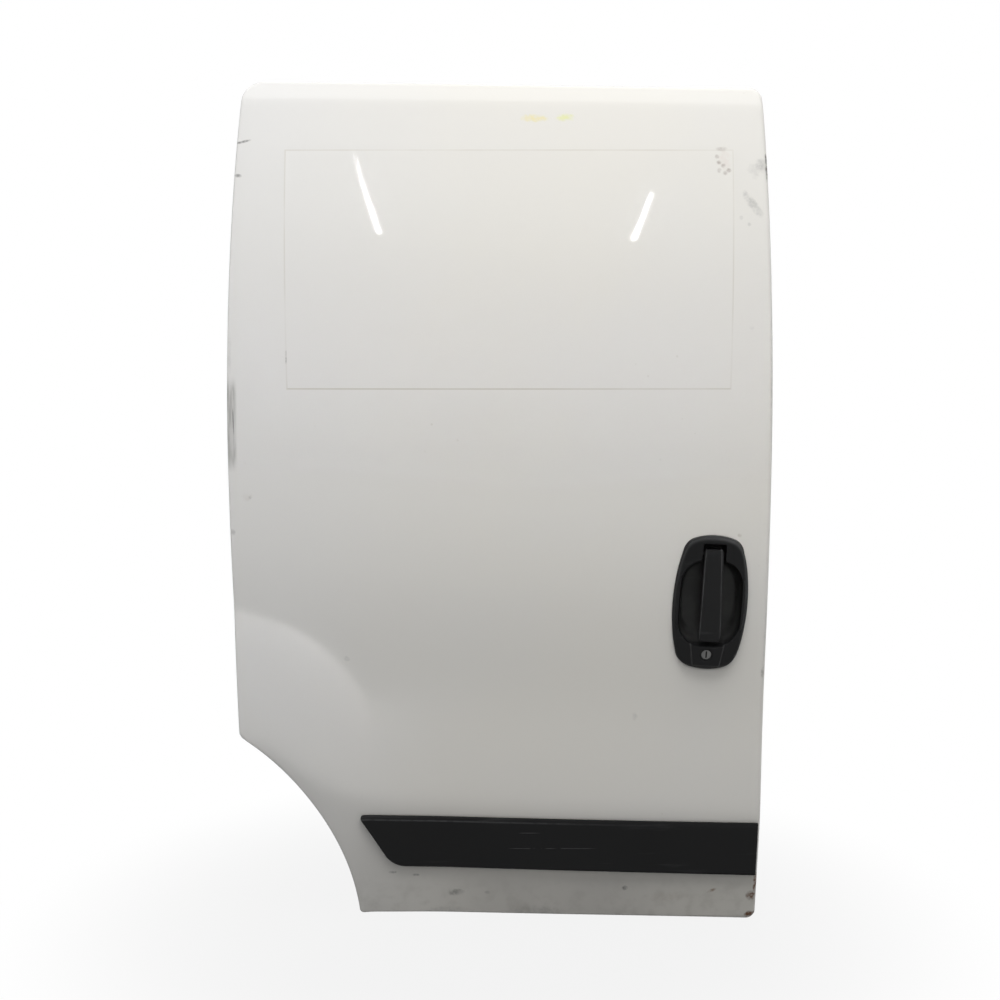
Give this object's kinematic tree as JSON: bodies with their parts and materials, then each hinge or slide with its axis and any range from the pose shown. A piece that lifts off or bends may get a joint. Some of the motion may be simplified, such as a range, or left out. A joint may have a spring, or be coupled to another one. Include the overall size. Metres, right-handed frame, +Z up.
{
  "type": "van sliding side door",
  "caption": "White blank-panel sliding side door of a small panel van, with black pull handle, rubbing strip, latches and roller arms",
  "frame": {"origin": "centre of the flat face of the centre guide seat, the plate on the inner panel near the rear edge that the centre roller guide is bolted to", "axes": "+X to the front of the van, along the slide; +Y into the van, out of the seat face; +Z up"},
  "size_m": [0.768, 0.2522, 1.2442],
  "materials": {
    "skin_paint": "glossy white door paint, worn and dirty",
    "inner_paint": "thin semi-gloss white paint",
    "mastic": "dull black sealing mastic",
    "strip_plastic": "grained black plastic",
    "seal_rubber": "soft black rubber",
    "handle_plastic": "fine-grained black plastic",
    "grip_plastic": "worn black plastic",
    "lock_metal": "dull nickel-plated lock barrel",
    "bare_steel": "zinc-plated steel",
    "latch_steel": "passivated zinc-plated steel",
    "trim_board": "dark grey fibre board",
    "cabin_plastic": "black cabin plastic",
    "arm_steel": "black coated steel",
    "roller_plastic": "off-white hard plastic"
  },
  "bodies": {
    "door": {"outer_skin": "skin_paint", "inner_panel": "inner_paint", "waist_rail": "inner_paint", "upper_brace": "inner_paint", "mastic_pads": "mastic", "lower_strip": "strip_plastic", "handle_gasket": "seal_rubber", "handle_escutcheon": "handle_plastic", "grip_pivot_pin": "arm_steel", "trim_board": "trim_board", "release_bezel": "cabin_plastic", "release_lever": "cabin_plastic", "front_latch_plate": "latch_steel", "front_latch_claw": "bare_steel", "rear_latch_plate": "latch_steel", "rear_latch_claw": "bare_steel", "upper_roller_arm": "arm_steel", "upper_guide_roller": "roller_plastic", "lower_roller_arm": "arm_steel", "lower_guide_roller": "roller_plastic", "lower_load_roller": "roller_plastic", "centre_guide_seat": "inner_paint", "front_locating_pin": "bare_steel", "rear_buffer": "seal_rubber"},
    "grip": {"handle_grip": "grip_plastic"},
    "lock": {"lock_barrel": "lock_metal"}
  },
  "joints": [
    {"name": "grip_pull", "type": "hinge", "parent": "door", "child": "grip", "pos_m": [0.61269, -0.041, -0.18465], "axis": [-0.9986, 0, 0.0523], "range_deg": [0, 22], "stiffness_Nm_per_rad": 3},
    {"name": "lock_turn", "type": "hinge", "parent": "door", "child": "lock", "pos_m": [0.60504, -0.03472, -0.33053], "axis": [0.0051, 0.9952, 0.0974], "range_deg": [-45, 45], "stiffness_Nm_per_rad": 0.2}
  ]
}
